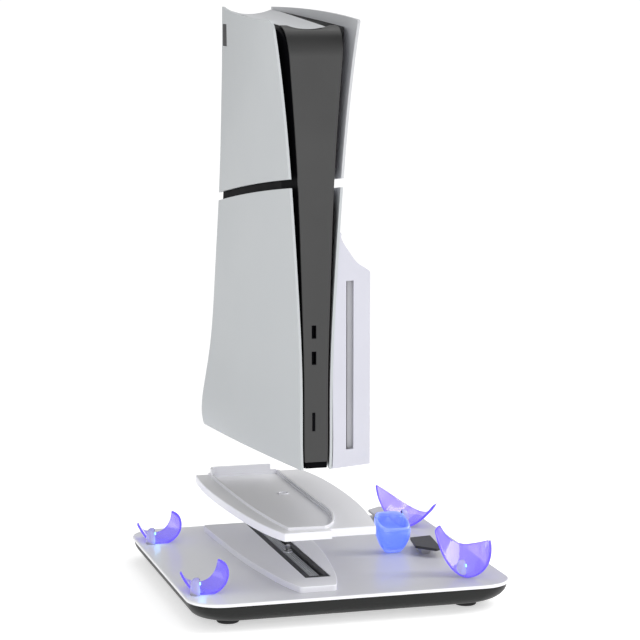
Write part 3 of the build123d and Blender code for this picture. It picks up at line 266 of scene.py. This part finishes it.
for sub in record["subparts"]:
    obj = nodes[sub["node"]]
    obj.data.materials.clear()
    obj.data.materials.append(SPECIAL.get(sub["node"]) or MATS[sub["material_slot"]])

# ------------------------------------------------------------------ edges of the carried-over pieces
# nodes by the width of their softened edge in mm
SOFT_EDGES = {
    0.2: ("tray_ring", "panel_inset"),
    0.3: ("power_button", "bottom_trim", "locating_stud"),
    0.4: ("front_band", "flap_feet", "rest_flap_front", "rest_flap_rear",
          "left_upper_panel", "left_lower_panel", "right_upper_panel", "right_lower_panel"),
    0.5: ("base_tub", "drive_cover"),
    0.8: ("rubber_feet",),
}
# broad plates keep their plane faces
FLAT = ("base_top_plate", "riser_pad", "dock_plate", "tray_rim", "tray_back_wall")
# distance in mm of corners that are one corner, and angle in degrees from which an edge is softened
WELD = 0.01
EDGE_ANGLE = 40
EDGE_SEGMENTS = 3
CRISP_WEIGHT = 60
for width, names in SOFT_EDGES.items():
    for name in names:
        weld = nodes[name].modifiers.new("weld", "WELD")
        weld.merge_threshold = WELD * MM
        bevel = nodes[name].modifiers.new("bevel", "BEVEL")
        bevel.width = width * MM
        bevel.segments = EDGE_SEGMENTS
        bevel.limit_method = "ANGLE"
        bevel.angle_limit = math.radians(EDGE_ANGLE)
for name, obj in nodes.items():
    for poly in obj.data.polygons:
        poly.use_smooth = name not in FLAT
    if name not in FLAT:
        crisp = obj.modifiers.new("crisp", "WEIGHTED_NORMAL")
        crisp.keep_sharp = True
        crisp.weight = CRISP_WEIGHT


# ------------------------------------------------------------------ tinted pieces
def tinted(name, node, rings, painted_edge_values, slot):
    """Skin over rings with as many points each and a "rim" value per point, the weight of painted edge
    colour and glow, in the CAD node's place.
    """
    bm = bmesh.new()
    layer = bm.verts.layers.float.new("rim")
    rows = []
    for ring, values in zip(rings, painted_edge_values):
        row = []
        for point, value in zip(ring, values):
            v = bm.verts.new(point)
            v[layer] = value
            row.append(v)
        rows.append(row)
    for near, far in zip(rows, rows[1:]):
        for i in range(len(near)):
            j = (i + 1) % len(near)
            bm.faces.new((near[i], near[j], far[j], far[i]))
    bm.faces.new(list(reversed(rows[0])))
    bm.faces.new(rows[-1])
    bmesh.ops.recalc_face_normals(bm, faces=bm.faces)
    mesh = bpy.data.meshes.new(name)
    bm.to_mesh(mesh)
    bm.free()
    for poly in mesh.polygons:
        poly.use_smooth = True
    obj = bpy.data.objects.new(name, mesh)
    scene.collection.objects.link(obj)
    mesh.materials.append(MATS[slot])
    smooth = obj.modifiers.new("smooth", "SUBSURF")
    smooth.levels = 1
    smooth.render_levels = 2
    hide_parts(node)
    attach(obj, "base")


# curled bands of the cradles, in mm: thickness, depth in the plate, room over the foot of the CAD node,
# width and first step of the rounded edge, hollow across the band
CRADLE_T = 2.0
CRADLE_SINK = 0.3
CLEAR = 0.02
ROUND = 0.9
CORNER = 0.35
BOW = 0.28
# shares: edge of the band's width at most, height of the edge's first step, where the tip thins and by
# how much, where the painted edge glow of the tip starts
ROUND_SHARE = 0.2
CORNER_LIFT = 0.85
TIP_FROM = 0.93
TIP_THIN = 0.35
PAINTED_EDGE_FROM = 0.9
# sections from tip to tip, and the step along the band that its direction is taken over
STATIONS = 33
PROBE = 0.02
# painted edge glow of each point of the section, which starts in the middle of its near edge
SECTION_PAINTED_EDGE = (1, 1, 0.25, 0, 0, 0, 0.25, 1, 1, 1, 0.25, 0, 0, 0, 0.25, 1)


def cradle_mesh(node, half, depth, width, tilt, yaw, roll, sweeps, front, back, taper):
    """Curled band with rounded edges, standing in the place of the CAD node.

    Lengths are mm and angles degrees. Each pair holds the value of the left and of the right half:
    the sweep of the curl, how far the near and the far rail run in at the tip, and the far rail's
    length against the near one's.
    """
    turn = (Matrix.Rotation(math.radians(yaw), 4, "Z") @ Matrix.Rotation(math.radians(tilt), 4, "X")
            @ Matrix.Rotation(math.radians(roll), 4, "Y"))

    def rails(t):
        side = 0 if t < 0 else 1
        q = abs(t)
        a = math.radians(q * sweeps[side])
        x = math.copysign(half * math.sin(a), t)
        z = depth * (1 - math.cos(a))
        near = turn @ Vector((x, width * front[side] * q * q, z))
        far = turn @ Vector((x * (1 + (taper[side] - 1) * q), width * (1 - back[side] * q * q), z))
        return near, far

    rings, values = [], []
    for i in range(STATIONS):
        t = -1 + 2 * i / (STATIONS - 1)
        near, far = rails(t)
        step = rails(min(t + PROBE, 1))[0] - rails(max(t - PROBE, -1))[0]
        across = (far - near).normalized()
        inward = across.cross(-step).normalized()
        span = (far - near).length
        thick = CRADLE_T * (1 - TIP_THIN * max(0.0, abs(t) - TIP_FROM) / (1 - TIP_FROM))
        curve = min(ROUND, span * ROUND_SHARE)
        top = [(CORNER, CORNER_LIFT), (curve, 1), *((span * share, 1) for share in (0.3, 0.5, 0.7)),
               (span - curve, 1), (span - CORNER, CORNER_LIFT)]
        under = [(u, 1 - w) for u, w in reversed(top)]
        profile = []
        for u, w in [(0, 0.5), *top, (span, 0.5), *under]:
            lift = (w - 0.5) * thick + CRADLE_T / 2 - BOW * math.sin(math.pi * u / span)
            profile.append((near + across * u + inward * lift) * MM)
        rings.append(profile)
        # painted edge glow spreads over the whole section towards the tips
        tip = max(0.0, abs(t) - PAINTED_EDGE_FROM) / (1 - PAINTED_EDGE_FROM)
        values.append([max(tip, value) for value in SECTION_PAINTED_EDGE])
    lo, hi = (Vector(c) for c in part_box(node))
    points = [p for r in rings for p in r]
    mid = [(min(p[k] for p in points) + max(p[k] for p in points)) / 2 for k in range(2)]
    at = Vector(((lo.x + hi.x) / 2 - mid[0], (lo.y + hi.y) / 2 - mid[1], lo.z - CRADLE_SINK * MM))
    floor_z = lo.z + CLEAR * MM
    rings = [[Vector((p.x + at.x, p.y + at.y, max(p.z + at.z, floor_z))) for p in r] for r in rings]
    tinted("tinted_" + node, node, rings, values, "violet_clear")


LEFT_CRADLE = dict(half=18, depth=17.7, width=30, tilt=6, yaw=-1, roll=20, sweeps=(50, 148),
                   front=(0.8, -0.07), back=(0.08, 0.9), taper=(0.93, 0.5))
cradle_mesh("cradle_left_front", **LEFT_CRADLE)
cradle_mesh("cradle_left_rear", **LEFT_CRADLE)
cradle_mesh("cradle_right_front", half=24, depth=34, width=35, tilt=37, yaw=-19, roll=-13, sweeps=(80, 89),
            front=(0.9, 0.2), back=(-0.04, 0.77), taper=(0.81, 0.99))
cradle_mesh("cradle_right_rear", half=25.5, depth=34, width=26, tilt=23, yaw=-58, roll=16, sweeps=(91, 73),
            front=(0, 0.9), back=(0.95, 0.17), taper=(1.03, 1.02))

# cup: share of its height, and share of its half-width there
CUP_WIDTHS = ((0.0, 0.42), (0.06, 0.52), (0.2, 0.70), (0.42, 0.88), (0.62, 0.97), (0.8, 1.0), (1.0, 0.93))
CUP_POINTS = 40
# power of the rounded square outline, and share of the CAD cup's width and depth
CUP_SQUARE = 0.62
CUP_FIT = (0.985, 0.93)
# height of the sloping rim, half its slope, and the direction that it rises to
CUP_RIM = (0.83, 0.17)
CUP_RISE = (-0.35, 1.1)
# in mm: how far the cup leans back from this share of its height, its wall, and the floor's inset
CUP_LEAN = 0.8
CUP_MID = 0.6
CUP_WALL = 1.6
CUP_FLOOR_IN = 3.0


def cup_mesh():
    """Tulip-shaped cup with a sloping rim, an outer and an inner skin."""
    lo, hi = (Vector(c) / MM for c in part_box("stow_cup"))
    cx, cy = (lo.x + hi.x) / 2, (lo.y + hi.y) / 2
    wide, deep, tall = (hi.x - lo.x) / 2, (hi.y - lo.y) / 2, hi.z - lo.z

    def size(s):
        for (s0, w0), (s1, w1) in zip(CUP_WIDTHS, CUP_WIDTHS[1:]):
            if s <= s1:
                w = w0 + (w1 - w0) * (s - s0) / (s1 - s0)
                return wide * CUP_FIT[0] * w, deep * CUP_FIT[1] * w

    def rim(c, sn):
        # highest at the back left, lowest at the front
        return CUP_RIM[0] + CUP_RIM[1] * max(-1.0, min(1.0, CUP_RISE[1] * sn + CUP_RISE[0] * c))

    def ring(s, inset):
        out = []
        half_w, half_d = size(s)
        for k in range(CUP_POINTS):
            a = 2 * math.pi * k / CUP_POINTS
            c, sn = math.cos(a), math.sin(a)
            px = math.copysign(abs(c) ** CUP_SQUARE, c) * (half_w - inset)
            py = math.copysign(abs(sn) ** CUP_SQUARE, sn) * (half_d - inset)
            z = lo.z + tall * s * rim(c, sn)
            out.append(Vector((cx + px, cy + py + CUP_LEAN * (s - CUP_MID), z)) * MM)
        return out

    # each row is (share of the height, inset, painted edge glow)
    outer = [(0.0, 0, 0.4), (0.03, 0, 0.4)] + [(s, 0, 0) for s in (0.1, 0.2, 0.32, 0.45, 0.6, 0.75, 0.88)]
    lip = [(0.97, 0, 0.9), (1.0, 0.5, 0.9), (1.0, 1.1, 0.9), (0.97, CUP_WALL, 0.5)]
    inner = [(s, CUP_WALL, 0) for s in (0.88, 0.75, 0.6, 0.45, 0.3, 0.18)] + [(0.13, CUP_FLOOR_IN, 0)]
    rows = outer + lip + inner
    tinted("tinted_cup", "stow_cup", [ring(s, inset) for s, inset, _ in rows],
           [[value] * CUP_POINTS for _, _, value in rows], "blue_clear")


cup_mesh()

# ------------------------------------------------------------------ stage
WHITE = (1, 1, 1, 1)
BACKDROP = 1.05
FILL = 0.50
FLOOR_SIZE = 14
FLOOR_GLOW = 0.55
# distance in metres from the middle where the floor starts and ends to fade
FLOOR_FADE = (0.22, 0.75)

bpy.ops.mesh.primitive_plane_add(size=FLOOR_SIZE, location=(0, 0, 0))
floor = bpy.context.object
floor.name = "floor"
floor_mat = plastic("floor", (0.80, 0.80, 0.80), 0.9, tone=0.004, grain=200, grain_bump=0.01, spec=0.1,
                    emission=((1, 1, 1), FLOOR_GLOW))
# away from the object the floor turns into the plain backdrop
fnt = floor_mat.node_tree
reach = add_node(fnt, "ShaderNodeVectorMath", operation="LENGTH")
fnt.links.new(add_node(fnt, "ShaderNodeTexCoord").outputs["Object"], reach.inputs[0])
plain = add_node(fnt, "ShaderNodeEmission", Strength=BACKDROP)
fade = add_node(fnt, "ShaderNodeMixShader")
fnt.links.new(mapped(fnt, reach.outputs["Value"], FLOOR_FADE, kind="SMOOTHSTEP"), fade.inputs["Fac"])
fnt.links.new(fnt.nodes["Principled BSDF"].outputs["BSDF"], fade.inputs[1])
fnt.links.new(plain.outputs["Emission"], fade.inputs[2])
fnt.links.new(fade.outputs["Shader"], fnt.nodes["Material Output"].inputs["Surface"])
floor.data.materials.append(floor_mat)

# the world lights the object softly and shows plain white behind it
world = bpy.data.worlds.new("studio")
scene.world = world
world.use_nodes = True
wnt = world.node_tree
fill = wnt.nodes["Background"]
seen = wnt.nodes.new("ShaderNodeBackground")
for background, strength in ((fill, FILL), (seen, BACKDROP)):
    background.inputs["Color"].default_value = WHITE
    background.inputs["Strength"].default_value = strength
path = wnt.nodes.new("ShaderNodeLightPath")
swap = wnt.nodes.new("ShaderNodeMixShader")
wnt.links.new(path.outputs["Is Camera Ray"], swap.inputs["Fac"])
wnt.links.new(fill.outputs["Background"], swap.inputs[1])
wnt.links.new(seen.outputs["Background"], swap.inputs[2])
wnt.links.new(swap.outputs["Shader"], wnt.nodes["World Output"].inputs["Surface"])


def light(name, kind, place, power, colour):
    data = bpy.data.lights.new(name, kind)
    data.energy = power
    data.color = colour
    o = bpy.data.objects.new(name, data)
    scene.collection.objects.link(o)
    o.location = place
    return o


def area(name, place, target, size, power, colour=(1, 1, 1)):
    o = light(name, "AREA", place, power, colour)
    o.data.shape = "RECTANGLE"
    o.data.size, o.data.size_y = size
    o.rotation_mode = "QUATERNION"
    o.rotation_quaternion = (Vector(target) - Vector(place)).to_track_quat("-Z", "Y")


area("key_right", (0.95, -0.1, 0.75), (0.05, 0, 0.05), (0.5, 0.8), 7.5)
area("front_left", (-1.0, -1.5, 0.9), (0, 0, 0.25), (0.9, 0.9), 6.0, (0.97, 0.985, 1.0))
area("front_soft", (0.25, -2.2, 0.35), (0, 0, 0.15), (1.2, 0.8), 6.5)
area("top_soft", (0.2, 0.4, 1.5), (0, 0, 0.1), (0.9, 0.9), 4.0)

# blue light on the plate from the window under each left cradle, at shares of the cradle's box
GLOW_AT = (0.36, 0.06)
GLOW_UP = 4 * MM
GLOW_POWER = 0.0010
GLOW_COLOUR = (0.15, 0.45, 1.0)
GLOW_RADIUS = 0.003
for side in ("front", "rear"):
    lo, hi = (Vector(c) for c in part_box("cradle_left_" + side))
    spot = (lo.x + GLOW_AT[0] * (hi.x - lo.x), lo.y + GLOW_AT[1] * (hi.y - lo.y), lo.z + GLOW_UP)
    light("glow_" + side, "POINT", spot, GLOW_POWER, GLOW_COLOUR).data.shadow_soft_size = GLOW_RADIUS

scene.view_settings.view_transform = "Standard"
scene.view_settings.look = "None"

# ------------------------------------------------------------------ camera
CAM_PLACE = Vector((-0.498533, -1.784101, 0.480246))
CAM_YAW = math.radians(-15.776)
CAM_PITCH = math.radians(7.991)
CAM_LENS = 128.1
CAM_SENSOR = 36
CAM_CLIP = (0.01, 50)
cam_data = bpy.data.cameras.new("camera")
cam_data.sensor_width = CAM_SENSOR
cam_data.lens = CAM_LENS
cam = bpy.data.objects.new("camera", cam_data)
scene.collection.objects.link(cam)
look = Vector((-math.sin(CAM_YAW) * math.cos(CAM_PITCH), math.cos(CAM_YAW) * math.cos(CAM_PITCH),
               -math.sin(CAM_PITCH)))
cam.location = CAM_PLACE
cam.rotation_mode = "QUATERNION"
cam.rotation_quaternion = look.to_track_quat("-Z", "Y")
cam_data.clip_start, cam_data.clip_end = CAM_CLIP
scene.camera = cam
